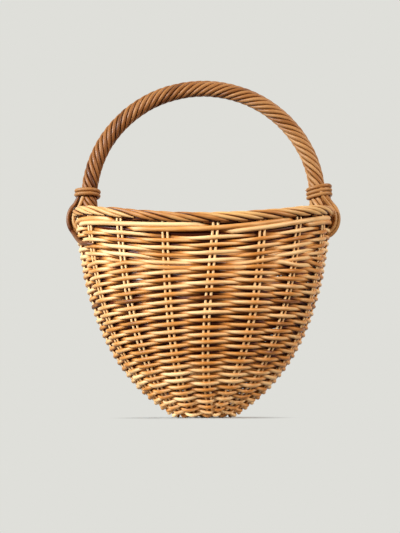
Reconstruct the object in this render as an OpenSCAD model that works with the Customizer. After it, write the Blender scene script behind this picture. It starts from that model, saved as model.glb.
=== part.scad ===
// Rattan basket bag: an oval woven body with a rolled border and a fixed, roped bow handle.
// The origin is on the floor under the middle of the base. X runs from end to end, Y from front to back.

/* [Body] */
// Width of the body at the rim, end to end, through the middle of the wall
body_w = 256; // [236:1:276]
// Depth of the body at the rim, front to back, through the middle of the wall
body_d = 170; // [150:1:190]
// Width of the flat base
base_w = 60; // [56:1:72]
// Depth of the flat base
base_d = 42; // [39:1:52]
// Height of the woven wall at the middle of the front
wall_h = 179.5; // [160:0.5:195]
// How much higher the rim stands at the two ends than at the middle
rim_rise = 21.5; // [14:0.5:30]

/* [Weave] */
// Thickness of a weaver, the cane that runs round the basket
weaver_t = 3.8; // [3:0.1:4.4]
// Thickness of a stake, the upright cane that the weavers pass on either side
stake_t = 2.6; // [2:0.1:3.2]
// Number of stake pairs round the basket
stake_count = 16; // [12:4:20]
// Number of woven rows from the base to the rim
row_count = 55; // [42:1:55]
// How much higher a row lies at the back than at the front, as a share of a row
back_climb = 0.5; // [0:0.1:1]
// Rows from one gap beside a stake to the next
gap_every = 7; // [7:1:10]

/* [Base] */
// Width of the oval that the crossed base canes fill
slath_w = 36; // [32:1:42]
// Depth of the oval that the crossed base canes fill
slath_d = 24; // [21:1:30]
// Number of rows woven round the crossed base canes
base_rows = 3; // [3:1:4]
// How far the middle of the base is pushed up off the floor
base_kick = 1.2; // [0.5:0.1:3]

/* [Border] */
// Height of the rolled border
border_h = 11.5; // [10:0.5:14]
// Thickness of the rolled border, from its inner to its outer face
border_t = 9.5; // [8:0.5:11]
// How far the border's middle stands outside the middle of the wall
border_out = 2.3; // [1:0.1:3]
// Number of canes side by side in the roll
border_canes = 5; // [4:1:7]
// Number of turns that the roll makes round the rim
border_turns = 8; // [6:1:9]
// Depth of the grooves between the canes of the roll
border_groove = 1.2; // [0.5:0.1:1.5]

/* [Handle] */
// Thickness of the bow, the rod inside the handle
bow_t = 8; // [6:0.5:10]
// Thickness of a strand that is roped round the bow
strand_t = 4.2; // [3.4:0.1:4.4]
// Number of strands roped round the bow
strand_count = 8; // [7:1:9]
// Number of turns that each strand makes from foot to foot
strand_turns = 6; // [4:1:8]
// Angle between a strand and the bow
strand_lay = 32; // [20:1:40]
// Height of the middle of the bow's arc over the top of the border
handle_lift = 12; // [8:0.5:13]
// Space between the bow and the inner face of the border
foot_inset = 3; // [2:0.5:6]
// Angle that the bow runs on below the middle of its arc, down inside the wall
bow_tuck = 18; // [10:1:24]

/* [Lashing] */
// Thickness of the cane that lashes the foot of the handle
lash_t = 3.4; // [2.6:0.1:4]
// Number of turns in a lashing
lash_turns = 4; // [3:1:5]
// Height of the middle of the lashing over the top of the border
lash_up = 17.5; // [14:0.5:20]

/* [Loops] */
// Thickness of a loop cane
loop_t = 3.6; // [2.8:0.1:4]
// How far a loop swings out from the foot of the handle
loop_reach = 8.5; // [8:0.1:12]
// Radius of the bend below the lashing, where a loop swings out
loop_bend = 9; // [7:0.5:12]
// Radius of the loop's main curve
loop_r = 22; // [18:0.5:28]

/* [Fit] */
// Space left between pieces that lie against each other
fit = 0.3; // [0.2:0.05:0.4]

/* [Hidden] */
$fn = 48;

cane_gold = "burlywood";
cane_tan = "peru";
cane_dark = "sienna";

// Weave: distance from the middle of the wall to the far side of a weaver that passes a stake,
// to the recess where the next one passes behind it, to the weavers half way between two stakes,
// and to the wall's top edge, which reaches out under the middle of the border
over = stake_t / 2 + weaver_t;
recess = -stake_t / 4;
between = 0.4 * weaver_t;
lip = between + border_out;
cols = 2 * stake_count;
rings = base_rows + row_count + 1;
gap_first = 3;
gap_stagger = 2;
gap_top_rows = 4;

// Shape of the wall from base to rim, as shares of its spread and of its height
spread_curve = [0, 0.2, 0.84, 1];
rise_curve = [0, 0.086, 0.212, 1];
side_steps = 100;

function bezier(p, t) =
    p[0] * pow(1 - t, 3) + 3 * p[1] * t * pow(1 - t, 2) + 3 * p[2] * t * t * (1 - t) + p[3] * pow(t, 3);
function blend(a, b, t) = a + (b - a) * t;
function half_width(u) = blend(base_w, body_w, bezier(spread_curve, u)) / 2;
function half_depth(u) = blend(base_d, body_d, bezier(spread_curve, u)) / 2;
function front_height(u) = blend(over, wall_h, bezier(rise_curve, u));
function rim_height(angle) = wall_h + rim_rise * pow(cos(angle), 2);

// Angles round the oval that lie at equal distances along the rim
function rim_step(i) = norm([body_w * (cos(i + 1) - cos(i)), body_d * (sin(i + 1) - sin(i))]) / 2;
quarter = [for (i = 0, s = 0; i <= 90; s = s + rim_step(i), i = i + 1) [s, i]];
quarter_length = quarter[90][0];
function rim_angle(share) =
    let (q = floor(4 * share), s = (4 * share - q) * quarter_length)
    q % 2 == 0 ? 90 * q + lookup(s, quarter) : 90 * (q + 1) - lookup(quarter_length - s, quarter);

// Rows that lie at equal distances up the front of the wall, with the rim's edge half a row over the last one
function front_point(u) = [half_depth(u), front_height(u)];
function side_step(i) = norm(front_point((i + 1) / side_steps) - front_point(i / side_steps));
side = [for (i = 0, s = 0; i <= side_steps; s = s + side_step(i), i = i + 1) [s, i / side_steps]];
side_length = side[side_steps][0];
function row_share(k) = lookup(side_length * min(1, k / (row_count - 0.5)), side);

// Rows climb from the front to the back, but the first rows and the rim's edge are level
climb_first = 4;
climb_last = 8;
function climb(k, angle) =
    back_climb * (1 + sin(angle)) / 2 * min(1, k / climb_first) * min(1, (row_count - k) / climb_last);

// Middle of the wall: base rings run out from the crossed canes, wall rings run up to the rim
function base_point(r, angle) =
    let (t = r / base_rows)
    [
        blend(slath_w, base_w, t) / 2 * cos(angle),
        blend(slath_d, base_d, t) / 2 * sin(angle),
        over + base_kick * (1 - r / (base_rows - 1))
    ];
function wall_point(u, angle) =
    [
        half_width(u) * cos(angle),
        half_depth(u) * sin(angle),
        front_height(u) + rim_rise * pow(cos(angle) * u, 2)
    ];
middles = [for (r = [0:rings - 1]) let (k = r - base_rows)
    [for (c = [0:cols - 1]) let (angle = 360 * c / cols)
        k < 0 ? base_point(r, angle) : wall_point(row_share(k + climb(k, angle)), angle)]];

// Directions in which the wall's two faces stand off its middle
function unit(v) = v / norm(v);
function wall_normal(r, c) = unit(cross(
    middles[r][(c + 1) % cols] - middles[r][(c + cols - 1) % cols],
    middles[min(r + 1, rings - 1)][c] - middles[max(r - 1, 0)][c]
));
function level(v) = unit([v[0], v[1], 0]);
function inward(r, c) =
    r < base_rows ? [0, 0, 1] : r == rings - 1 ? -level(wall_normal(r, c)) : -wall_normal(r, c);
function outward(r, c) = r <= base_rows ? [0, 0, -1] : -inward(r, c);

// Each row passes outside every other stake, and the next row passes outside the stakes between
function is_stake(c) = c % 2 == 0;
function passes_outside(r, c) = (c / 2 + r) % 2 == 0;
function is_rest(r) = r == base_rows - 1 || r == base_rows;
function outer_offset(r, c) =
    is_rest(r) ? middles[r][c][2]
    : r == rings - 1 ? lip
    : r == 0 || !is_stake(c) ? between
    : passes_outside(r, c) ? over : recess;
function inner_offset(r, c) =
    r == 0 || r == rings - 1 || !is_stake(c) ? between
    : passes_outside(r, c) ? recess : over;
wall_points = concat(
    [for (r = [0:rings - 1]) for (c = [0:cols - 1]) middles[r][c] + outward(r, c) * outer_offset(r, c)],
    [for (r = [0:rings - 1]) for (c = [0:cols - 1]) middles[r][c] + inward(r, c) * inner_offset(r, c)]
);

// A cell lies between two rows, from a stake to half way to the next one.
// It is cut in two from the stake's lower or upper corner, and the half on the stake may be a gap.
function outer_id(v) = v[0] * cols + v[1] % cols;
function inner_id(v) = rings * cols + outer_id(v);
function cell_stake(c) = is_stake(c) ? c : (c + 1) % cols;
function halves(r, c, from_lower) =
    let (a = [r, c], b = [r + 1, c], d = [r + 1, c + 1], e = [r, c + 1])
    is_stake(c)
        ? (from_lower ? [[a, b, d], [a, d, e]] : [[a, b, e], [b, d, e]])
        : (from_lower ? [[b, d, e], [a, b, e]] : [[a, d, e], [a, b, d]]);
function is_gap(r, c) =
    let (
        stake = cell_stake(c) / 2,
        up = r - base_rows - gap_first - gap_stagger * (stake % 2),
        order = floor(up / gap_every),
        to_right = (order + floor(stake / 2)) % 2 == 0
    )
    up >= 0 && up % gap_every == 0 && r < rings - 1 - gap_top_rows && to_right == is_stake(c);
function outer_cut(r, c) = halves(r, c, passes_outside(r, cell_stake(c)));
function inner_cut(r, c) =
    let (outside = passes_outside(r, cell_stake(c)))
    halves(r, c, is_gap(r, c) ? outside : !outside);
function ids_out(face) = [for (v = face) outer_id(v)];
function ids_in(face) = [for (i = [len(face) - 1:-1:0]) inner_id(face[i])];
function edge_wall(p, q) = [
    [outer_id(p), outer_id(q), inner_id(q)],
    [outer_id(p), inner_id(q), inner_id(p)]
];
wall_faces = concat(
    [for (r = [0:rings - 2]) for (c = [0:cols - 1])
        for (h = [is_gap(r, c) ? 1 : 0:1]) ids_out(outer_cut(r, c)[h])],
    [for (r = [0:rings - 2]) for (c = [0:cols - 1])
        for (h = [is_gap(r, c) ? 1 : 0:1]) ids_in(inner_cut(r, c)[h])],
    [for (r = [0:rings - 2]) for (c = [0:cols - 1]) if (is_gap(r, c))
        let (g = outer_cut(r, c)[0]) for (i = [0:2]) each edge_wall(g[i], g[(i + 1) % 3])],
    [for (c = [0:cols - 1]) each edge_wall([0, c], [0, c + 1])],
    [for (c = [0:cols - 1]) each edge_wall([rings - 1, c + 1], [rings - 1, c])]
);

// Border: like sections round the rim, joined one cane further round at each step
border_rings = border_canes * border_turns;
border_sides = 2 * border_canes;
function border_point(k, i) =
    let (
        angle = rim_angle(k / border_rings),
        way = level([cos(angle) / body_w, sin(angle) / body_d, 0]),
        turn = 360 * i / border_sides,
        cut = i % 2 == 0 ? 0 : border_groove,
        run = (border_t / 2 - cut) * cos(turn),
        lift = border_h / 2 + (border_h / 2 - cut) * sin(turn)
    )
    [body_w / 2 * cos(angle), body_d / 2 * sin(angle), rim_height(angle) + fit + lift]
        + way * (border_out + run);
function border_id(k, i) = (k % border_rings) * border_sides + (i + border_sides) % border_sides;

// Handle: the bow is an arc that tucks in behind the border, and the strands lie round it
border_top = wall_h + rim_rise + fit + border_h;
bow_r = body_w / 2 + border_out - border_t / 2 - foot_inset - bow_t / 2;
bow_z = border_top + handle_lift;
strand_sides = 4;
strand_steps = strand_count * strand_turns;
step_turn = 360 / strand_count;
strand_half_w = strand_t / 2 / cos(strand_lay);
strand_ring = max(
    (strand_half_w + fit / 2) / sin(step_turn / 2),
    (bow_t / 2 + fit) / cos(step_turn / 2) + strand_t / 2
);
rope_r = strand_ring + strand_t / 2;
rope_reach = bow_r + rope_r;
rope_on_border = min(1, (body_w / 2 + border_out - rope_reach) / (border_t / 2));
foot_drop = border_h / 2 * (1 - sqrt(1 - pow(rope_on_border, 2)));
strand_foot = asin((handle_lift + foot_drop - fit) / rope_reach);
function bow_out(angle) = [cos(angle), 0, sin(angle)];
function bow_point(angle) = [0, 0, bow_z] + bow_r * bow_out(angle);
function strand_point(first, k, i) =
    let (
        angle = blend(-strand_foot, 180 + strand_foot, k / strand_steps),
        turn = step_turn * (first - k),
        away = cos(turn) * bow_out(angle) + sin(turn) * [0, 1, 0],
        along = cos(turn) * [0, 1, 0] - sin(turn) * bow_out(angle),
        corner = 360 * i / strand_sides,
        reach = strand_ring + strand_t / 2 * cos(corner)
    )
    bow_point(angle) + away * reach + along * strand_half_w * sin(corner);
function strand_id(k, i) = k * strand_sides + i % strand_sides;

// Lashing: measured from the bow at the middle of the lashing, across and along the bow
lash_angle = asin((lash_up - handle_lift) / bow_r);
lash_at = bow_point(lash_angle);
lash_pitch = 0.94 * lash_t;
lash_h = lash_pitch * (lash_turns - 1) + lash_t;
lash_inner = rope_r + 1.5 * fit;
loop_gap = (loop_t + fit) / 2;
loop_start = lash_inner + loop_t / 2;
lash_shift = loop_start - sqrt(pow(lash_inner - fit - loop_t / 2, 2) - pow(loop_gap, 2));

// Loops: out from under the lashing, round, and back until they meet the woven wall
loop_turn = acos(1 - loop_reach / (loop_bend + loop_r));
loop_drop = lash_h / 2 + (loop_bend + loop_r) * sin(loop_turn);
loop_mid = loop_start + loop_reach - loop_r;
loop_taper = 0.1;
loop_let_in = 1.5;
function foot_to_bag(across, up) = [
    lash_at[0] + across * cos(lash_angle) - up * sin(lash_angle),
    lash_at[2] + across * sin(lash_angle) + up * cos(lash_angle)
];
wall_reach = [for (r = [base_rows:rings - 1]) let (p = wall_points[r * cols]) [p[2], p[0]]];
function loop_is_clear(turn) =
    let (
        r = loop_r - loop_t / 2,
        p = foot_to_bag(loop_mid + r * cos(turn), -loop_drop - r * sin(turn))
    )
    p[0] > lookup(p[1], wall_reach) + fit;
loop_step = 0.5;
loop_end = min([for (turn = [0:loop_step:90]) if (!loop_is_clear(turn)) turn]) - loop_step;

module woven_body()
{
    color(cane_gold) polyhedron(wall_points, wall_faces, convexity = 12);
}

// One row of base canes, in pairs, across an oval that is long units long and wide units wide
module base_canes(long, wide, pairs)
{
    pair_pitch = (wide - stake_t) / (pairs + 0.5);
    for (i = [0:pairs - 1])
        for (s = [-1, 1])
        {
            off = (i - (pairs - 1) / 2) * pair_pitch + s * (stake_t + fit) / 2;
            reach = long / 2 * sqrt(1 - pow((abs(off) + stake_t / 2 + fit) / (wide / 2), 2)) - 2 * fit;
            translate([0, off, 0]) rotate([0, 90, 0]) cylinder(d = stake_t, h = 2 * reach, center = true);
        }
}

long_pairs = floor(stake_count * 3 / 16);
short_pairs = stake_count / 2 - long_pairs;
slath_z = over + base_kick;

module base_canes_long()
{
    color(cane_tan) translate([0, 0, slath_z + (stake_t + fit) / 2]) base_canes(slath_w, slath_d, long_pairs);
}

module base_canes_short()
{
    color(cane_tan) translate([0, 0, slath_z - (stake_t + fit) / 2])
        rotate([0, 0, 90]) base_canes(slath_d, slath_w, short_pairs);
}

module rolled_border()
{
    points = [for (k = [0:border_rings - 1]) for (i = [0:border_sides - 1]) border_point(k, i)];
    faces = [for (k = [0:border_rings - 1]) for (i = [0:border_sides - 1]) each [
        [border_id(k, i), border_id(k, i + 1), border_id(k + 1, i - 1)],
        [border_id(k, i), border_id(k + 1, i - 1), border_id(k + 1, i - 2)]
    ]];
    color(cane_gold) polyhedron(points, faces, convexity = 8);
}

module handle_bow()
{
    color(cane_dark) translate([0, 0, bow_z]) rotate([90, 0, 0]) rotate([0, 0, -bow_tuck])
        rotate_extrude(angle = 180 + 2 * bow_tuck) translate([bow_r, 0]) circle(d = bow_t);
}

module handle_strand(first)
{
    points = [for (k = [0:strand_steps]) for (i = [0:strand_sides - 1]) strand_point(first, k, i)];
    last = strand_steps;
    faces = concat(
        [for (k = [0:last - 1]) for (i = [0:strand_sides - 1]) each [
            [strand_id(k, i), strand_id(k + 1, i), strand_id(k + 1, i + 1)],
            [strand_id(k, i), strand_id(k + 1, i + 1), strand_id(k, i + 1)]
        ]],
        [[0, 1, 2], [0, 2, 3]],
        [
            [strand_id(last, 2), strand_id(last, 1), strand_id(last, 0)],
            [strand_id(last, 3), strand_id(last, 2), strand_id(last, 0)]
        ]
    );
    color(cane_tan) polyhedron(points, faces, convexity = 8);
}

// Places what is drawn across and along the bow at the foot of the handle
module at_right_foot()
{
    translate(lash_at) rotate([0, -lash_angle, 0]) children();
}

module at_left_foot()
{
    mirror([1, 0, 0]) at_right_foot() children();
}

// Outline of all the turns of a lashing, cut through on one side
module lash_section()
{
    for (i = [0:lash_turns - 1])
        translate([lash_inner + lash_t / 2, (i - (lash_turns - 1) / 2) * lash_pitch]) circle(d = lash_t);
}

module lashing()
{
    rotate([0, 0, 90]) rotate_extrude(angle = 180) lash_section();
    translate([lash_shift, 0, 0]) rotate([0, 0, -90]) rotate_extrude(angle = 180) lash_section();
    rotate([90, 0, 90]) linear_extrude(lash_shift) lash_section();
    translate([lash_shift, 0, 0]) rotate([90, 0, -90]) linear_extrude(lash_shift) lash_section();
}

module lashing_right()
{
    color(cane_dark) at_right_foot() lashing();
}

module lashing_left()
{
    color(cane_dark) at_left_foot() lashing();
}

// Arc of cane in the plane of the bow, from one angle to another
module cane_arc(radius, thick, from, to)
{
    rotate([90, 0, 0]) rotate([0, 0, from])
        rotate_extrude(angle = to - from) translate([radius, 0]) circle(d = thick);
}

module loop_cane(side)
{
    translate([0, side * loop_gap, 0])
    {
        translate([loop_start, 0, -lash_h / 2]) cylinder(d = loop_t, h = lash_h + loop_t);
        translate([loop_start + loop_bend, 0, -lash_h / 2]) cane_arc(loop_bend, loop_t, 180, 180 + loop_turn);
        translate([loop_mid, 0, -loop_drop])
            cane_arc(loop_r, loop_t - loop_taper, -loop_end, loop_turn + loop_let_in);
    }
}

module loop_cane_right_front()
{
    color(cane_gold) at_right_foot() loop_cane(-1);
}

module loop_cane_right_rear()
{
    color(cane_gold) at_right_foot() loop_cane(1);
}

module loop_cane_left_front()
{
    color(cane_gold) at_left_foot() loop_cane(-1);
}

module loop_cane_left_rear()
{
    color(cane_gold) at_left_foot() loop_cane(1);
}

woven_body();
base_canes_long();
base_canes_short();
rolled_border();
handle_bow();
for (i = [1:strand_count])
    handle_strand(i);
lashing_right();
lashing_left();
loop_cane_right_front();
loop_cane_right_rear();
loop_cane_left_front();
loop_cane_left_rear();
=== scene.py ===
import math

import bpy
import numpy as np
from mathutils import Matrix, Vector


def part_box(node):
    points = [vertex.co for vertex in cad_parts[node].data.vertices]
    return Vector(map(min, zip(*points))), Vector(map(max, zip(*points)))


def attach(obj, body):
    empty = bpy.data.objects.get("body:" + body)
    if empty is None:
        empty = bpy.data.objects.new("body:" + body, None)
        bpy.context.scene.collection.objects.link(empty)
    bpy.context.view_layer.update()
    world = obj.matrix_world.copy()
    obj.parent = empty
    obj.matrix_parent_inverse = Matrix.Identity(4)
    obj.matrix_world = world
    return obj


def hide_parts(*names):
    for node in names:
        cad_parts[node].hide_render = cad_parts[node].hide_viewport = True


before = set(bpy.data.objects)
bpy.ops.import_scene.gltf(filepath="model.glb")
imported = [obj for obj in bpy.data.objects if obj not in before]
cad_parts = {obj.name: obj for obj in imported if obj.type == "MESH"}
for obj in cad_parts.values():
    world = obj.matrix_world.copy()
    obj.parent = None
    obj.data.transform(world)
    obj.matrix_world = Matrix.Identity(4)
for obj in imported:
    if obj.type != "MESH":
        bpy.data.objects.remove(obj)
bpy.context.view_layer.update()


# Base canes: straight round rattan in two layers, three pairs along the base crossed by five pairs under
# them. They are laid down first, and the rows woven round them lock the crossing together.
chance = np.random.default_rng(860)
base_cane_t = 0.0026
base_gap = 0.0003
base_pairs = {"base_canes_long": 3, "base_canes_short": 5}
base_steps = 24
base_sway = 0.0002
base_end_round = 0.8
base_tone, base_tone_spread = 0.5, 0.15
base_roughness = 0.45
base_cane_tones = ((0.20, 0.06, 0.012, 1), (0.45, 0.22, 0.07, 1), (0.62, 0.36, 0.13, 1))
skin_shine, coat_weight, coat_roughness = 0.2, 0.08, 0.28
fibres_along, fibres_across, fibre_detail, fibre_share = 45, 2200, 3, 0.55
patches_along, patches_across, patch_detail, patch_share = 38, 160, 2, 0.75
patch_gloss, patch_dull = 0.1, 0.12
fibre_relief, fibre_strength = 0.0002, 0.35
grain_run, grain_side = 40, 1
# Painted shade: the side of a cane turned away from the way out is painted deeper, as the shade in a hollow.
painted_crevice_shade, painted_shade_edge = 0.7, 0.5
thin_sides, stout_sides = 8, 10


def unit(v):
    """The same directions, at length one."""
    return v / np.linalg.norm(v, axis=-1, keepdims=True)


def cane_finish(name, tones, roughness):
    """Rattan skin in three tones, deep to pale, with fibres along the cane and slow patches."""
    finish = bpy.data.materials.new(name)
    finish.use_nodes = True
    nodes, links = finish.node_tree.nodes, finish.node_tree.links
    shader = nodes["Principled BSDF"]
    shader.inputs["Specular IOR Level"].default_value = skin_shine
    shader.inputs["Coat Weight"].default_value = coat_weight
    shader.inputs["Coat Roughness"].default_value = coat_roughness

    grain = nodes.new("ShaderNodeAttribute")
    grain.attribute_name = "grain"
    tone = nodes.new("ShaderNodeAttribute")
    tone.attribute_name = "tone"

    def cane_noise(along, across, detail):
        """Noise that is stretched along the cane."""
        stretch = nodes.new("ShaderNodeMapping")
        stretch.inputs["Scale"].default_value = (along, across, across)
        noise = nodes.new("ShaderNodeTexNoise")
        noise.inputs["Scale"].default_value = 1
        noise.inputs["Detail"].default_value = detail
        links.new(grain.outputs["Vector"], stretch.inputs["Vector"])
        links.new(stretch.outputs["Vector"], noise.inputs["Vector"])
        return noise.outputs["Fac"]

    def add_share(base, value, share):
        """base + share * (value - 0.5)"""
        centred = nodes.new("ShaderNodeMath")
        centred.operation = "SUBTRACT"
        centred.inputs[1].default_value = 0.5
        links.new(value, centred.inputs[0])
        total = nodes.new("ShaderNodeMath")
        total.operation = "MULTIPLY_ADD"
        total.inputs[1].default_value = share
        links.new(centred.outputs[0], total.inputs[0])
        links.new(base, total.inputs[2])
        return total.outputs[0]

    fibres = cane_noise(fibres_along, fibres_across, fibre_detail)
    patches = cane_noise(patches_along, patches_across, patch_detail)
    level = add_share(tone.outputs["Fac"], fibres, fibre_share)
    level = add_share(level, patches, patch_share)
    colour = nodes.new("ShaderNodeValToRGB")
    colour.color_ramp.elements.new(0.5)
    for stop, shade in zip(colour.color_ramp.elements, tones):
        stop.color = shade
    links.new(level, colour.inputs["Fac"])
    links.new(colour.outputs["Color"], shader.inputs["Base Color"])

    gloss = nodes.new("ShaderNodeMapRange")
    gloss.inputs["To Min"].default_value = roughness - patch_gloss
    gloss.inputs["To Max"].default_value = roughness + patch_dull
    links.new(patches, gloss.inputs["Value"])
    links.new(gloss.outputs["Result"], shader.inputs["Roughness"])

    bump = nodes.new("ShaderNodeBump")
    bump.inputs["Strength"].default_value = fibre_strength
    bump.inputs["Distance"].default_value = fibre_relief
    links.new(fibres, bump.inputs["Height"])
    links.new(bump.outputs["Normal"], shader.inputs["Normal"])
    return finish


def carry_across(ahead):
    """A direction across the cane, carried along it without twist."""
    across = np.array([0, 0, 1.0]) if abs(ahead[0, 2]) < 0.8 else np.array([0, 1.0, 0])
    carried = []
    for way in ahead:
        across = across - way * (across @ way)
        across = across / math.sqrt(across @ across)
        carried.append(across)
    return np.array(carried)


def cane_tone(cane, rim):
    """Tone at each point of a cane. Where the cane names the way out, the side turned away from it is painted
    deeper, as painted shade in a hollow, unless the cane has a tone for the inside as well."""
    count, sides = rim.shape[:2]
    tone = np.repeat(np.broadcast_to(np.asarray(cane["tone"], float), count), sides)
    if "out" in cane:
        facing = (rim * np.asarray(cane["out"])[:, None, :]).sum(axis=2).ravel()
        tone = tone - cane.get("painted_crevice_shade", painted_crevice_shade) * np.clip(painted_shade_edge - facing, 0, 1)
        if "inside" in cane:
            inside = np.repeat(cane["inside"], sides) - painted_crevice_shade * np.clip(painted_shade_edge + facing, 0, 1)
            tone = np.maximum(tone, inside)
    return tone


def cane_faces(count, sides, closed, first):
    """Faces along a cane, and over its two ends unless it is closed to a ring.
    First is the number of its first point."""
    last = count if closed else count - 1
    ring = np.arange(last)[:, None] * sides
    after = (np.arange(1, last + 1)[:, None] % count) * sides
    here, there = np.arange(sides)[None, :], (np.arange(sides)[None, :] + 1) % sides
    quads = np.stack([ring + here, after + here, after + there, ring + there], axis=2).reshape(-1, 4) + first
    faces = quads.tolist()
    if not closed:
        faces.append((np.arange(sides) + first).tolist())
        faces.append((np.arange(sides)[::-1] + first + (count - 1) * sides).tolist())
    return faces


def lay_canes(name, canes, finish, sides=thin_sides):
    """One mesh of round canes. Each cane has its line, its thickness and its tone, and may be closed."""
    points, faces, grain, tones = [], [], [], []
    around = np.arange(sides) * 2 * math.pi / sides
    cosine, sine = np.cos(around), np.sin(around)
    first = 0
    for cane in canes:
        line = np.asarray(cane["line"], float)
        closed = cane.get("closed", False)
        count = len(line)
        ahead = unit(np.roll(line, -1, 0) - np.roll(line, 1, 0) if closed else np.gradient(line, axis=0))
        side = carry_across(ahead)
        up = np.cross(side, ahead)
        half = np.broadcast_to(np.asarray(cane["thick"], float) / 2, count)
        rim = side[:, None, :] * cosine[None, :, None] + up[:, None, :] * sine[None, :, None]
        points.append((line[:, None, :] + rim * half[:, None, None]).reshape(-1, 3))
        steps = np.linalg.norm(np.diff(line, axis=0), axis=1)
        run = np.concatenate([[0], np.cumsum(steps)]) + chance.uniform(0, grain_run)
        grain.append(np.stack([
            np.repeat(run, sides),
            (half[:, None] * cosine[None, :]).ravel() + chance.uniform(0, grain_side),
            (half[:, None] * sine[None, :]).ravel() + chance.uniform(0, grain_side),
        ], axis=1))
        tones.append(cane_tone(cane, rim))
        faces.extend(cane_faces(count, sides, closed, first))
        first += count * sides
    mesh = bpy.data.meshes.new(name)
    mesh.from_pydata(np.concatenate(points).tolist(), [], faces)
    mesh.polygons.foreach_set("use_smooth", [True] * len(mesh.polygons))
    mesh.attributes.new("grain", "FLOAT_VECTOR", "POINT").data.foreach_set(
        "vector", np.concatenate(grain).astype(np.float32).ravel())
    mesh.attributes.new("tone", "FLOAT", "POINT").data.foreach_set(
        "value", np.concatenate(tones).astype(np.float32))
    mesh.materials.append(finish)
    piece = bpy.data.objects.new(name, mesh)
    bpy.context.scene.collection.objects.link(piece)
    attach(piece, "root")
    return piece


def straight_canes(node, axis):
    """Round canes along one axis that fill the box of a layer of base canes, two to a pair."""
    low, high = map(np.array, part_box(node))
    side = 1 - axis
    middle = (low + high) / 2
    pairs = base_pairs[node]
    pitch = (high[side] - low[side] - 2 * base_cane_t - base_gap) / (pairs - 1)
    canes = []
    for i in range(pairs):
        for s in (-1, 1):
            off = (i - (pairs - 1) / 2) * pitch + s * (base_cane_t + base_gap) / 2
            edge = abs(off) / ((high[side] - low[side]) / 2 + base_cane_t)
            reach = (high[axis] - low[axis]) / 2 * math.sqrt(1 - base_end_round * edge**2)
            t = np.linspace(-1, 1, base_steps)
            line = np.tile(middle, (base_steps, 1))
            line[:, axis] += reach * t
            line[:, side] += off + base_sway * np.sin(5 * t + 3 * i + s)
            canes.append({"line": line, "thick": base_cane_t,
                          "tone": base_tone + base_tone_spread * chance.standard_normal()})
    return canes


base_finish = cane_finish("base_cane_skin", base_cane_tones, base_roughness)
for node, axis in (("base_canes_long", 0), ("base_canes_short", 1)):
    layer = lay_canes(node + "_dressed", straight_canes(node, axis), base_finish)
    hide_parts(node)


# Stakes: sixteen pairs of thin round cane that fan out from the crossed base and stand up in the wall.
# The weavers hold them apart, and their tops turn into the border.
_, body_high = map(np.array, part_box("woven_body"))
weave_reach = 0.0051
rim_rise = 0.0215
base_half = np.array([0.030, 0.021])
slath_half = np.array([0.018, 0.012])
base_kick = 0.0012
base_row_count = 3
rim_half = body_high[:2] - weave_reach
rim_front = body_high[2] - rim_rise
spread_curve = (0, 0.2, 0.84, 1)
rise_curve = (0, 0.086, 0.212, 1)
stake_t = 0.0025
stake_apart = 0.0046
apart_at_slath, apart_at_base = 0.6, 0.8
apart_wander, apart_waves, apart_shift = 0.10, 7, 6
stake_top = 0.005
stake_proud, proud_from = 0.0018, 0.1
stake_steps, foot_steps = 70, 10
stake_rim = np.radians([-173, -151, -129, -106.4, -85, -64.5, -44.5, -22,
                        0.5, 23, 45.5, 68, 90.5, 113, 135.5, 158])
stake_drift = np.radians([-5, -9, -11, -6.2, 5, -6, -2.7, 3.5, -3, 4, 6, -4, 3, 5, -6, 2])
stake_bow = np.radians([0, 2, 3, 0.5, -6, 0.5, -1, 1, 0, -2, 2, 1, -3, 2, -1, 1])
drift_bend = 1.3
stake_count = len(stake_rim)
stake_tone_low, stake_tone_rise, stake_tone_spread = 0.82, 0.28, 0.12
wall_roughness = 0.42
wall_tones = ((0.085, 0.012, 0.001, 1), (0.6, 0.23, 0.046, 1), (0.9, 0.57, 0.27, 1))


def bezier(p, t):
    return p[0] * (1 - t)**3 + 3 * p[1] * t * (1 - t)**2 + 3 * p[2] * t**2 * (1 - t) + p[3] * t**3


def wall_point(angle, share):
    """The middle of the wall, at an angle round the oval and a share of the way from base to rim."""
    spread = bezier(spread_curve, share)
    wide = base_half[0] + (rim_half[0] - base_half[0]) * spread
    deep = base_half[1] + (rim_half[1] - base_half[1]) * spread
    high = weave_reach + (rim_front - weave_reach) * bezier(rise_curve, share)
    return np.stack([wide * np.cos(angle), deep * np.sin(angle),
                     high + rim_rise * (np.cos(angle) * share)**2], axis=-1)


def wall_out(angle, share):
    """The way straight out of the wall."""
    step = 1e-4
    round_it = wall_point(angle + step, share) - wall_point(angle - step, share)
    up_it = wall_point(angle, share + step) - wall_point(angle, share - step)
    return unit(np.cross(round_it, up_it))


def base_point(angle, row):
    """The middle of the base, at an angle round it and a number of rows out from the crossed canes."""
    half = slath_half + (base_half - slath_half) * np.asarray(row)[..., None] / base_row_count
    high = weave_reach + base_kick * (1 - np.asarray(row) / (base_row_count - 1))
    return np.stack([half[..., 0] * np.cos(angle), half[..., 1] * np.sin(angle),
                     np.broadcast_to(np.maximum(high, weave_reach), np.shape(angle))], axis=-1)


def stake_angle(stake, share):
    """Angle of a stake, which may lie between two stakes, at a share of the way up the wall."""
    ids = np.floor(stake).astype(int)
    part = stake - ids

    def whole(i):
        lap = 2 * math.pi * np.floor_divide(i, stake_count)
        j = np.mod(i, stake_count)
        return (lap + stake_rim[j] + stake_drift[j] * (1 - share)**drift_bend
                + stake_bow[j] * np.sin(math.pi * share))

    return whole(ids) * (1 - part) + whole(ids + 1) * part


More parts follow.
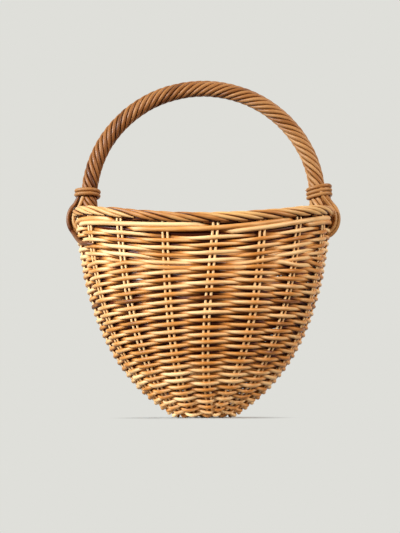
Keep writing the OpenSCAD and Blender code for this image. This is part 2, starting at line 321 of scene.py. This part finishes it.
stakes = []
for j in range(stake_count):
    for s in (-1, 1):
        inner = np.linspace(0, base_row_count, foot_steps)[:-1]
        outer = np.linspace(0, 1, stake_steps)
        foot = np.full_like(inner, stake_angle(np.array(float(j)), 0.0))
        angle = stake_angle(np.full_like(outer, j), outer)
        line = np.concatenate([base_point(foot, inner), wall_point(angle, outer)])
        top = line[-1] + np.array([0, 0, stake_top])
        line = np.concatenate([line, top[None]])
        full = np.concatenate([foot, angle, angle[-1:]])
        aside = unit(np.stack([-rim_half[0] * np.sin(full), rim_half[1] * np.cos(full), 0 * full], axis=-1))
        apart = np.concatenate([np.linspace(apart_at_slath, apart_at_base, len(inner)),
                                np.full(len(outer) + 1, 1.0)])
        waves = np.linspace(0, apart_waves, len(apart)) + chance.uniform(0, apart_shift)
        apart *= 1 + apart_wander * np.sin(waves)
        line = line + aside * (s * stake_apart / 2 * apart)[:, None]
        proud = np.concatenate([np.zeros(len(inner)), np.clip(outer / proud_from, 0, 1), [0]])
        out = np.cross(aside, [0, 0, 1])
        line = line + out * (stake_proud * proud)[:, None]
        up = np.concatenate([np.zeros(len(inner)), outer, [1]])
        tone = stake_tone_low + stake_tone_rise * up + stake_tone_spread * chance.standard_normal()
        stakes.append({"line": line, "thick": stake_t, "out": out, "tone": tone})
wall_finish = cane_finish("woven_cane_skin", wall_tones, wall_roughness)
piece = lay_canes("stakes", stakes, wall_finish)
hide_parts("woven_body")


# Weavers: long round canes woven over one stake pair and under the next, each row opposite to the one below.
# They are packed tight from the base upwards, and short rows fill in where the rim rises at the two ends.
# At the top two rods run over three pairs and under one, and plain rods lie inside them.
weaver_t, weaver_spread = 0.0044, 0.035
base_weaver_t = 0.0038
row_count = 55
first_rows = 4
low_rows = 28
wave_reach = 0.0025
base_wave_reach = 0.0030
low_reach_less = 0.0004
back_climb = 0.5
rod_tilt = 0.0006
slow_wander, rod_wander = 0.0007, 0.00018
slow_seed, rod_seed = 5, 100
wander_bend, wander_turn, wander_fade = 1.7, 0.11, 0.07
wander_from, wander_to, climb_to = 10, 6, 8
front_thin, back_thin = 0.74, 0.97
back_stout = 0.2
row_tone, row_tone_spread = 0.77, 0.17
# Painted shade: a weaver is painted deep where it lies behind the next one, and its inside is painted deeper
# still.
crown_less, shade_less, shade_from = 0.26, 0.8, 0.2
inside_painted_shade = 0.25
low_paler = 0.16
wale_t = 0.005
wale_rods = 2
wale_float = 4
wale_rows = 3
wale_climb = 2.0
wale_behind = 0.09
inner_rods = 8
inner_lift = 0.0018
inner_depth = 0.0026
inner_tone, inner_tone_spread = 0.45, 0.15
packing_from = 43
packing_pairs = 3
packing_reach = 5
packing_start = 1.6
packing_share = 0.85
packing_shortest = 8
tuck_steps, tuck_depth, tuck_thin = 6, 0.004, 0.5
end_stakes, back_stake = (0, 8), 12
steps_to_stake = 14
profile_steps = np.linspace(0, 1, 301)


def wall_lengths(angle):
    """Distance up the wall from the base at each profile step, one line for each angle."""
    line = wall_point(np.asarray(angle)[:, None], profile_steps[None, :])
    steps = np.linalg.norm(np.diff(line, axis=1), axis=2)
    return np.concatenate([np.zeros((len(line), 1)), np.cumsum(steps, axis=1)], axis=1)


front_length = wall_lengths(np.array([-math.pi / 2]))[0, -1]
end_length = wall_lengths(np.array([0.0]))[0, -1]
row_pitch = front_length / (row_count - 0.5)
packing_full = 2 * packing_pairs * row_pitch
end_stretch = (end_length - front_length - packing_full) / (packing_from * row_pitch)


def ripple(angle, height, seed, harmonics=5):
    """A smooth closed wander round the basket that changes slowly from row to row."""
    dice = np.random.default_rng(seed)
    total = np.zeros_like(angle)
    for h in range(1, harmonics + 1):
        a, b, c = dice.uniform(0, 2 * math.pi, 3)
        bend = wander_bend * np.sin(height * wander_turn * h + b)
        total += np.cos(h * angle + a + bend) * np.cos(height * wander_fade + c) / h**0.5
    return total / harmonics**0.5


def row_gap(angle, length):
    """How much higher than at the front the rim stands, less what the rows below take up by spreading."""
    spread = packing_from * row_pitch * end_stretch * np.cos(angle)**2
    return np.maximum(length - front_length - spread, 0)


def row_height(k):
    """How far up the wall row k lies. Each row wanders a little and climbs towards the back."""
    def height(angle, length):
        wander = slow_wander * min(1, k / wander_from) * ripple(angle, float(k), slow_seed)
        wander = wander * min(1, (row_count - k) / wander_to)
        wander = wander + rod_wander * ripple(angle, 0.0, rod_seed + k)
        climb = back_climb * row_pitch * min(1, k / first_rows) * min(1, (row_count - k) / climb_to)
        wander = wander + climb * (1 + np.sin(angle)) / 2
        if k <= packing_from:
            return k * row_pitch * (1 + end_stretch * np.cos(angle)**2) + wander * min(1, k / first_rows)
        spread = packing_from / k * end_stretch * np.cos(angle)**2
        return k * row_pitch * (1 + spread) + row_gap(angle, length) + wander

    return height


def wale_height(rise):
    """How far up the wall a wale rod lies: between the rim and the lowest row of the wale."""
    def height(angle, length):
        return length - row_pitch * (wale_climb * (1 - rise))

    return height


def inner_height(level):
    """How far up the wall a plain rod lies, a number of rows down from the rim."""
    def height(angle, length):
        return length - row_pitch * level

    return height


def short_height(m):
    """How far up the wall short row m lies: the rows share out the gap where the rim rises."""
    def height(angle, length):
        gap = row_gap(angle, length)
        weight = [np.clip(gap / row_pitch - 2 * ((q + 1) // 2) + packing_start, 0, 1)
                  for q in range(1, 2 * packing_pairs + 1)]
        place = sum(weight[:m]) / (sum(weight) + 1)
        return packing_from * (1 + end_stretch * np.cos(angle)**2) * row_pitch + place * (gap + row_pitch)

    return height


def plain_wave(stake, phase):
    """Over one stake and under the next."""
    return np.cos(math.pi * (stake + phase))


def inner_wave(stake, phase):
    """Inside every stake."""
    return -np.ones_like(stake)


def wale_place(stake, rod):
    """How far a wale rod has come, from 0 to 1, on its way from one pass behind a stake to the next."""
    return np.mod(stake / wale_float + rod / wale_rods, 1)


def wale_wave(stake, rod):
    """Over three stakes and under one."""
    place = wale_place(stake, rod)
    return 1 - 2 * np.exp(-(np.minimum(place, 1 - place) / wale_behind)**2)


def wale_rise(stake, rod):
    """From the lowest row of the wale to the highest while the rod is in front, and down behind the stake."""
    place = wale_place(stake, rod)
    front = (place - wale_behind) / (1 - 2 * wale_behind)
    behind = 0.5 - np.where(place < 0.5, place, place - 1) / (2 * wale_behind)
    return np.where((place > wale_behind) & (place < 1 - wale_behind), front, behind)


def woven_row(stake, height_of, phase, reach, wave):
    """A weaver along the stakes given, at a distance up the wall, waving from stake to stake."""
    share = np.full_like(stake, 0.5)
    for _ in range(3):
        angle = stake_angle(stake, share)
        lengths = wall_lengths(angle)
        goal = height_of(angle, lengths[:, -1])
        share = np.array([np.interp(g, row, profile_steps) for g, row in zip(goal, lengths)])
    over = wave(stake, phase)
    out = wall_out(angle, share)
    return wall_point(angle, share) + out * (reach * over)[:, None], over, out


def lens(line, over):
    """Full thickness where a weaver stands out over a stake, thinner where it crosses its neighbours.
    The canes at the back are stouter and thin less there."""
    back = np.clip(0.5 + line[:, 1] / body_high[1], 0, 1)
    thin = front_thin + (back_thin - front_thin) * back
    return (thin + (1 - thin) * over**2) * (1 + back_stout * back)


def row_tones(over, paler=0):
    """A little deeper on the crown over a stake, painted shade where the cane lies behind the next one, and
    more painted shade on its inside.
    """
    level = row_tone + paler + row_tone_spread * chance.standard_normal()

    def shown(stand):
        return level - crown_less * np.maximum(stand, 0)**3 - shade_less * np.maximum(shade_from - stand, 0)

    return {"tone": shown(over), "inside": shown(-over) - inside_painted_shade}


wall_rows, packing_rows, base_rows = [], [], []
lap = np.arange(back_stake * steps_to_stake, (back_stake + stake_count) * steps_to_stake) / steps_to_stake
for k in range(row_count - wale_rows):
    low_share = min(1, k / first_rows)
    thick = base_weaver_t + (weaver_t - base_weaver_t) * low_share
    reach = base_wave_reach + (wave_reach - base_wave_reach) * low_share
    reach = reach - low_reach_less * math.sin(math.pi * min(1, k / low_rows))
    thick = thick * (1 + weaver_spread * chance.standard_normal() * low_share)
    line, over, out = woven_row(lap, row_height(k), k + 1, reach, plain_wave)
    line[:, 2] += rod_tilt * low_share * np.sin(math.pi * (lap + k + 1))
    paler = low_paler * max(0, 1 - k / low_rows)
    wall_rows.append({"line": line, "thick": thick * lens(line, over), "closed": True, "out": out,
                      **row_tones(over, paler)})

for rod in range(wale_rods):
    line, over, out = woven_row(lap, wale_height(wale_rise(lap, rod)), rod, wave_reach, wale_wave)
    wall_rows.append({"line": line, "thick": wale_t, "closed": True, "out": out, **row_tones(over)})

for level in range(inner_rods):
    line, over, out = woven_row(lap, inner_height(level), 0, inner_depth, inner_wave)
    line[:, 2] += inner_lift
    wall_rows.append({"line": line, "thick": weaver_t, "closed": True, "out": -out,
                      "tone": inner_tone + inner_tone_spread * chance.standard_normal()})

for r in range(1, base_row_count):
    angle = stake_angle(lap, 0.0)
    line = base_point(angle, np.full_like(angle, r))
    line[:, 2] -= base_wave_reach * plain_wave(lap, r)
    base_rows.append({"line": line, "thick": base_weaver_t, "closed": True,
                      "tone": base_tone + base_tone_spread * chance.standard_normal()})

for end_stake in end_stakes:
    for m in range(1, 2 * packing_pairs + 1):
        pair = (m + 1) // 2
        reach_steps = packing_reach * steps_to_stake
        stake = np.arange(-reach_steps, reach_steps + 1) / steps_to_stake + end_stake
        angle = stake_angle(stake, packing_share)
        room = row_gap(angle, wall_lengths(angle)[:, -1]) / row_pitch
        stake = stake[room > 2 * pair - packing_start]
        if len(stake) < packing_shortest:
            continue
        line, over, out = woven_row(stake, short_height(m), packing_from + m + 1, wave_reach, plain_wave)
        ends = np.minimum(np.arange(len(stake)), np.arange(len(stake))[::-1]) / tuck_steps
        tuck = np.clip(1 - ends, 0, 1)
        tuck_way = wall_out(stake_angle(stake, packing_share), np.full_like(stake, packing_share))
        line -= tuck_way * (tuck_depth * tuck**2)[:, None]
        packing_rows.append({"line": line, "thick": weaver_t * (1 - tuck_thin * tuck), "out": out,
                             **row_tones(over)})

half_way = row_count // 2
for name, rows in (("base_rows", base_rows), ("weavers_lower", wall_rows[:half_way]),
                   ("weavers_upper", wall_rows[half_way:]), ("packing_rows", packing_rows)):
    piece = lay_canes(name, rows, wall_finish)
    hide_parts("woven_body")


# Rolled border: the stake ends and added canes, turned down one over the next into a rope along the rim.
# Each cane starts inside, comes over the top, slopes down across the outside and ends under the roll.
_, border_high = map(np.array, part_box("rolled_border"))
border_gap = 0.0003
border_h = border_high[2] - body_high[2] - border_gap
border_t = 0.0095
border_out = border_high[0] - border_t / 2 - rim_half[0]
border_lift = border_gap + border_h / 2
border_cane_t, border_cane_spread = 0.0042, 0.04
border_core_t, border_core_tone = 0.0056, -0.3
border_swell = 0.06
# Painted shade, stronger on the border: the side of each border cane turned into the roll is painted deeper.
border_painted_shade = 1.5
border_cane_count = 40
border_steps = 64
border_lead = 6
pair_close = 0.12
roll_start, roll_end = math.radians(255), math.radians(-80)
roll_start_spread, roll_end_spread = (-8, 8), (-6, 22)
rim_steps, core_every = 1441, 4
taper_steps, taper_least, taper_bend = 9, 0.25, 0.6
butt_steps, tip_steps = 4, 1
border_tone, border_tone_spread = 0.85, 0.2
border_roughness = 0.4
border_tones = ((0.055, 0.008, 0.001, 1), (0.42, 0.155, 0.036, 1), (0.74, 0.43, 0.165, 1))

rim_angles = np.linspace(-math.pi, math.pi, rim_steps)
rim_line = wall_point(rim_angles, np.ones_like(rim_angles))
rim_run = np.concatenate([[0], np.cumsum(np.linalg.norm(np.diff(rim_line, axis=0), axis=1))])


def border_middle(run):
    """The middle of the roll at a distance along the rim, and the way out from it."""
    angle = np.interp(np.mod(run, rim_run[-1]), rim_run, rim_angles)
    way = unit(np.stack([np.cos(angle) / rim_half[0], np.sin(angle) / rim_half[1], 0 * angle], axis=-1))
    line = wall_point(angle, np.ones_like(angle)) + way * border_out
    line[:, 2] += border_lift
    return line, way


core, _ = border_middle(rim_run[:-1:core_every])
border_canes = [{"line": core, "thick": border_core_t, "closed": True, "tone": border_core_tone}]
spacing = rim_run[-1] / border_cane_count
wide = border_t / 2 - border_cane_t / 2
tall = border_h / 2 - border_cane_t / 2
step = np.arange(border_steps)
from_tip = np.minimum(step + butt_steps, step[::-1] + tip_steps)
taper = np.clip(from_tip / taper_steps, taper_least, 1)**taper_bend
for i in range(border_cane_count):
    first_turn = roll_start + math.radians(chance.uniform(*roll_start_spread))
    last_turn = roll_end + math.radians(chance.uniform(*roll_end_spread))
    turn = np.linspace(first_turn, last_turn, border_steps)
    run = (i - pair_close * (i % 2)) * spacing + (roll_start - turn) / (2 * math.pi) * border_lead * spacing
    middle, way = border_middle(run)
    swell = 1 + border_swell * chance.standard_normal()
    line = middle + way * (wide * swell * np.cos(turn))[:, None]
    line[:, 2] += tall * swell * np.sin(turn)
    out = way * np.cos(turn)[:, None]
    out[:, 2] += np.sin(turn)
    thick = border_cane_t * taper * (1 + border_cane_spread * chance.standard_normal())
    tone = border_tone + border_tone_spread * chance.standard_normal()
    border_canes.append({"line": line, "thick": thick, "tone": tone, "out": out, "painted_crevice_shade": border_painted_shade})
border_finish = cane_finish("border_cane_skin", border_tones, border_roughness)
piece = lay_canes("border_canes", border_canes, border_finish, sides=stout_sides)
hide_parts("rolled_border")


# Handle bow: one stout rattan rod bent into an arch, with its two ends pushed down inside the wall.
# It carries the bag, and the strands hide it except inside the feet.
_, bow_high = map(np.array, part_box("handle_bow"))
bow_t = 0.008
bow_r = bow_high[0] - bow_t / 2
bow_z = bow_high[2] - bow_high[0]
bow_tuck = math.radians(18)
bow_steps, bow_sides = 120, 14
bow_tone, bow_roughness = 0.5, 0.5
bow_tones = ((0.12, 0.035, 0.008, 1), (0.32, 0.14, 0.04, 1), (0.46, 0.25, 0.09, 1))


def bow_way(angle):
    """The way out from the middle of the arch."""
    return np.stack([np.cos(angle), 0 * angle, np.sin(angle)], axis=-1)


def bow_point(angle):
    """The middle of the bow, at an angle up from its right foot."""
    return np.array([0, 0, bow_z]) + bow_r * bow_way(angle)


bow_angle = np.linspace(-bow_tuck, math.pi + bow_tuck, bow_steps)
bow_finish = cane_finish("bow_cane_skin", bow_tones, bow_roughness)
bow = {"line": bow_point(bow_angle), "thick": bow_t, "tone": bow_tone}
piece = lay_canes("bow_rod", [bow], bow_finish, sides=bow_sides)
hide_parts("handle_bow")


# Handle strands: eight canes roped side by side round the bow from foot to foot, six turns each.
# The lashings pinch them, and below the lashings they spread and go down inside the border.
strand_count = 8
strand_turns = 6
strand_steps = 420
strand_t, strand_t_spread = 0.0044, 0.03
strand_ring = 0.0063
strand_pinch = 0.0056
# Painted shade on the strands: the side of each strand turned in towards the bow is painted deeper.
strand_painted_shade = 1.5
strand_foot = math.radians(5.73)
strand_tail = math.radians(13)
lash_angle = math.radians(2.66)
lash_half_angle = math.radians(3.2)
spread_angle = math.radians(5)
spread_ring, spread_in, spread_deep = 0.12, 1.5, 0.25
strand_roughness = 0.42
strand_tone, strand_painted_light_right, strand_tone_spread = 0.53, 0.17, 0.12
strand_tones = ((0.05, 0.008, 0.001, 1), (0.29, 0.105, 0.026, 1), (0.54, 0.28, 0.11, 1))

angle = np.linspace(-strand_tail, math.pi + strand_tail, strand_steps)
along = (np.clip(angle, -strand_foot, math.pi + strand_foot) + strand_foot) / (math.pi + 2 * strand_foot)
from_end = np.minimum(angle, math.pi - angle)
pinch = np.exp(-((from_end - lash_angle) / lash_half_angle)**4)
spread = np.clip((lash_angle - lash_half_angle - from_end) / spread_angle, 0, 1)
strands = []
for i in range(1, strand_count + 1):
    turn = 2 * math.pi * (i / strand_count - strand_turns * along)
    outward = np.cos(turn)
    ring = strand_ring - (strand_ring - strand_pinch) * pinch
    ring = ring * (1 + spread_ring * spread * np.where(outward < 0, 1, -spread_in * outward))
    deep = np.sin(turn)[:, None] * (1 + spread_deep * spread)[:, None]
    away = bow_way(angle) * outward[:, None] + np.array([0, 1, 0]) * deep
    thick = strand_t * (1 + strand_t_spread * chance.standard_normal())
    # Painted light and shade: the strands are painted paler towards the right foot and deeper towards the
    # left foot.
    tone = strand_tone + strand_painted_light_right * np.cos(angle) + strand_tone_spread * chance.standard_normal()
    strands.append({"line": bow_point(angle) + away * ring[:, None], "thick": thick, "tone": tone,
                    "out": unit(away), "painted_crevice_shade": strand_painted_shade})
strand_finish = cane_finish("strand_cane_skin", strand_tones, strand_roughness)
for i, strand in enumerate(strands, start=1):
    piece = lay_canes("strand_%d" % i, [strand], strand_finish, sides=stout_sides)
    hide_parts("handle_strand_%d" % i)


# Lashings: a length of cane wound tight round each foot of the handle, over the tops of the loop canes.
# The left one shows two turns, and the right one three turns that climb outwards.
lash_t = 0.0041
lash_pitch = 0.0042
lash_inner = 0.0079
lash_shift, lash_square = 0.0036, 3
lash_steps = 40
lash_tone, lash_roughness = 0.55, 0.42
lash_tones = ((0.08, 0.016, 0.003, 1), (0.32, 0.125, 0.034, 1), (0.52, 0.28, 0.11, 1))
lash_at = bow_point(np.array([lash_angle]))[0]


def at_foot(local, side):
    """Turns points measured across and along the bow at a foot into the bag's frame.
    Side is 1 for the right foot and -1 for the left."""
    x, y, z = np.moveaxis(np.asarray(local, float), -1, 0)
    return np.stack([side * (lash_at[0] + x * math.cos(lash_angle) - z * math.sin(lash_angle)), y,
                     lash_at[2] + x * math.sin(lash_angle) + z * math.cos(lash_angle)], axis=-1)


def lashing(side, turns, climb):
    """A cane wound round a foot, starting and ending at the back, and drawn out over the loop canes."""
    wind = np.linspace(0, 2 * math.pi * turns, int(lash_steps * turns)) - side * math.pi / 2
    reach = lash_inner + lash_t / 2
    x = reach * np.cos(wind) + lash_shift * (0.5 + 0.5 * np.tanh(lash_square * np.cos(wind)))
    y = reach * np.sin(wind) * -side
    z = lash_pitch * (wind - wind.mean()) / (2 * math.pi) + climb * x
    return at_foot(np.stack([x, y, z], axis=-1), side)


lash_finish = cane_finish("lashing_cane_skin", lash_tones, lash_roughness)
for name, side, turns, climb in (("lashing_right", 1, 3.1, 0.2), ("lashing_left", -1, 2.1, -0.1)):
    wound = {"line": lashing(side, turns, climb), "thick": lash_t, "tone": lash_tone}
    piece = lay_canes(name + "_wound", [wound], lash_finish, sides=stout_sides)
    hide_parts(name)


# Loop canes: the ends of the handle's canes, taken out over the border below the lashing and back to the
# wall, where they are pushed in between the weavers, so that the handle can't pull out.
loop_t = 0.0040
loop_start = 0.01128
loop_reach = 0.0085
loop_bend = 0.009
loop_r = 0.022
loop_top, loop_under = 0.003, 0.7
loop_knots = 7
loop_roughness = 0.42
loop_half_lash = 0.0065
loop_turn = math.acos(1 - loop_reach / (loop_bend + loop_r))
loop_drop = loop_half_lash + (loop_bend + loop_r) * math.sin(loop_turn)
loop_mid = loop_start + loop_reach - loop_r
loop_tones = ((0.09, 0.02, 0.004, 1), (0.36, 0.145, 0.038, 1), (0.56, 0.3, 0.11, 1))
left_tail = ((-163, 0.944, 0.0056), (-154, 0.939, 0.0046), (-149, 0.936, 0.0016))
# Side, start under the lashing, distance within the outermost cane, y, last turn in degrees, tail, tone
loop_canes = {
    "loop_right_front": (1, (0.0075, -0.0072), 0.0, -0.0030, -66, (), 0.62),
    "loop_right_middle": (1, (0.0030, -0.0090), 0.0034, -0.0042, -66, (), 0.7),
    "loop_right_rear": (1, (0.0112, -0.0005), 0.0004, 0.0012, -66, (), 0.5),
    "loop_right_inner": (1, (-0.0010, -0.0068), 0.0062, -0.0004, -52, (), 0.6),
    # The left front cane is painted very deep, so that its tail along the wall stands in as painted shade for
    # a dark gap between two rows.
    "loop_left_front": (-1, (0.0104, -0.0030), 0.0, -0.0026, -42, left_tail, 0.1),
    "loop_left_rear": (-1, (0.0112, 0.0020), 0.0030, 0.0012, -66, (), 0.45),
    "loop_left_middle": (-1, (0.0050, -0.0060), 0.0060, -0.0045, -52, (), 0.75),
}


def smooth_line(knots, steps=8):
    """A smooth line through the knots."""
    knots = np.asarray(knots, float)
    knots = np.vstack([2 * knots[0] - knots[1], knots, 2 * knots[-1] - knots[-2]])
    t = np.linspace(0, 1, steps, endpoint=False)[:, None]
    parts = []
    for a, b, c, d in zip(knots, knots[1:], knots[2:], knots[3:]):
        parts.append(0.5 * (2 * b + (c - a) * t + (2 * a - 5 * b + 4 * c - d) * t**2
                            + (3 * b - a - 3 * c + d) * t**3))
    return np.concatenate(parts + [knots[-2:-1]])


def loop_line(side, start, inside, y, last_turn, tail):
    """A loop cane from its start under the lashing, round and back to the wall. The tail is where it goes on
    along the wall: an angle, a share of the way up and a distance out."""
    turns = np.linspace(loop_turn, math.radians(last_turn), loop_knots)
    radius = loop_r - inside
    knots = [(start[0], start[1], loop_top), (start[0], start[1], -loop_half_lash * loop_under)]
    knots += [(loop_mid + radius * math.cos(b), y, -loop_drop + radius * math.sin(b)) for b in turns]
    knots = at_foot(knots, side)
    for angle, share, off in tail:
        angle, share = np.radians([angle]), np.array([share])
        knots = np.vstack([knots, wall_point(angle, share) + off * wall_out(angle, share)])
    return smooth_line(knots)


loop_finish = cane_finish("loop_cane_skin", loop_tones, loop_roughness)
for name, (*course, tone) in loop_canes.items():
    loop = {"line": loop_line(*course), "thick": loop_t, "tone": tone}
    piece = lay_canes(name, [loop], loop_finish, sides=stout_sides)
    if name.endswith(("front", "rear")):
        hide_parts(name.replace("loop_", "loop_cane_"))


# Studio: a pale floor under the bag that fades into a pale background, a soft light from the left front, one
# from each side and a weak one from behind. The camera stands low in front of the bag.
background = (0.738, 0.738, 0.701, 1)
floor_size = 14
fade_from, fade_to = 0.035, 0.1
floor_near, floor_far = (0.57, 0.57, 0.55, 1), (0.10, 0.10, 0.095, 1)
floor_roughness, floor_shine = 0.9, 0.1
room_colour, room_strength = (1, 0.9, 0.78, 1), 0.04
camera_at = (-0.004, -0.9, 0.012)
camera_up, camera_roll = math.radians(8.9), math.radians(0.15)

floor_mesh = bpy.data.meshes.new("floor")
floor_mesh.from_pydata([(-floor_size, -floor_size, 0), (floor_size, -floor_size, 0),
                        (floor_size, floor_size, 0), (-floor_size, floor_size, 0)], [], [(0, 1, 2, 3)])
floor = bpy.data.objects.new("floor", floor_mesh)
bpy.context.scene.collection.objects.link(floor)


def backdrop_rays(nodes, links):
    """One for the rays that show the background to the camera, straight, mirrored or through a piece."""
    path = nodes.new("ShaderNodeLightPath")
    total = path.outputs["Is Camera Ray"]
    for kind in ("Is Glossy Ray", "Is Transmission Ray"):
        larger = nodes.new("ShaderNodeMath")
        larger.operation = "MAXIMUM"
        links.new(total, larger.inputs[0])
        links.new(path.outputs[kind], larger.inputs[1])
        total = larger.outputs[0]
    return total


floor_finish = bpy.data.materials.new("pale_floor")
floor_finish.use_nodes = True
nodes, links = floor_finish.node_tree.nodes, floor_finish.node_tree.links
paint = nodes["Principled BSDF"]
paint.inputs["Roughness"].default_value = floor_roughness
paint.inputs["Specular IOR Level"].default_value = floor_shine
glow = nodes.new("ShaderNodeEmission")
glow.inputs["Color"].default_value = background
place = nodes.new("ShaderNodeNewGeometry")
far = nodes.new("ShaderNodeVectorMath")
far.operation = "LENGTH"
links.new(place.outputs["Position"], far.inputs[0])
fade = nodes.new("ShaderNodeMapRange")
fade.interpolation_type = "SMOOTHSTEP"
fade.inputs["From Min"].default_value = fade_from
fade.inputs["From Max"].default_value = fade_to
links.new(far.outputs["Value"], fade.inputs["Value"])
tint = nodes.new("ShaderNodeMix")
tint.data_type = "RGBA"
tint.inputs["A"].default_value = floor_near
tint.inputs["B"].default_value = floor_far
links.new(fade.outputs["Result"], tint.inputs["Factor"])
links.new(tint.outputs["Result"], paint.inputs["Base Color"])
shown = nodes.new("ShaderNodeMath")
shown.operation = "MULTIPLY"
links.new(fade.outputs["Result"], shown.inputs[0])
links.new(backdrop_rays(nodes, links), shown.inputs[1])
mixed = nodes.new("ShaderNodeMixShader")
links.new(shown.outputs[0], mixed.inputs["Fac"])
links.new(paint.outputs["BSDF"], mixed.inputs[1])
links.new(glow.outputs["Emission"], mixed.inputs[2])
links.new(mixed.outputs["Shader"], nodes["Material Output"].inputs["Surface"])
floor_mesh.materials.append(floor_finish)

world = bpy.data.worlds.new("studio")
bpy.context.scene.world = world
world.use_nodes = True
nodes, links = world.node_tree.nodes, world.node_tree.links
room_light = nodes["Background"]
room_light.inputs["Color"].default_value = room_colour
room_light.inputs["Strength"].default_value = room_strength
backdrop = nodes.new("ShaderNodeBackground")
backdrop.inputs["Color"].default_value = background
mixed = nodes.new("ShaderNodeMixShader")
links.new(backdrop_rays(nodes, links), mixed.inputs["Fac"])
links.new(room_light.outputs["Background"], mixed.inputs[1])
links.new(backdrop.outputs["Background"], mixed.inputs[2])
links.new(mixed.outputs["Shader"], nodes["World Output"].inputs["Surface"])


def soft_light(name, at, aim, size, watts, colour):
    """A round soft lamp that looks at a point."""
    lamp = bpy.data.lights.new(name, "AREA")
    lamp.shape = "DISK"
    lamp.size = size
    lamp.energy = watts
    lamp.color = colour
    holder = bpy.data.objects.new(name, lamp)
    bpy.context.scene.collection.objects.link(holder)
    holder.location = at
    holder.rotation_euler = (Vector(aim) - Vector(at)).to_track_quat("-Z", "Y").to_euler()


soft_light("key", (-0.85, -1.1, 0.65), (0, 0, 0.12), 0.25, 20, (1, 0.97, 0.93))
soft_light("left_side", (-1.3, -0.55, 0.6), (0, 0, 0.14), 0.4, 26, (0.66, 0.86, 1))
soft_light("right_side", (1.25, -0.75, 0.7), (0, 0, 0.14), 0.4, 18, (1, 0.95, 0.88))
soft_light("back", (0, 1.5, 0.5), (0, 0, 0.14), 1.4, 8, (1, 0.97, 0.93))

camera_data = bpy.data.cameras.new("camera")
camera_data.sensor_width = 36
camera_data.lens = 60
camera = bpy.data.objects.new("camera", camera_data)
bpy.context.scene.collection.objects.link(camera)
camera.location = camera_at
camera.rotation_euler = (math.radians(90) + camera_up, camera_roll, 0)
bpy.context.scene.camera = camera
bpy.context.scene.view_settings.view_transform = "Standard"
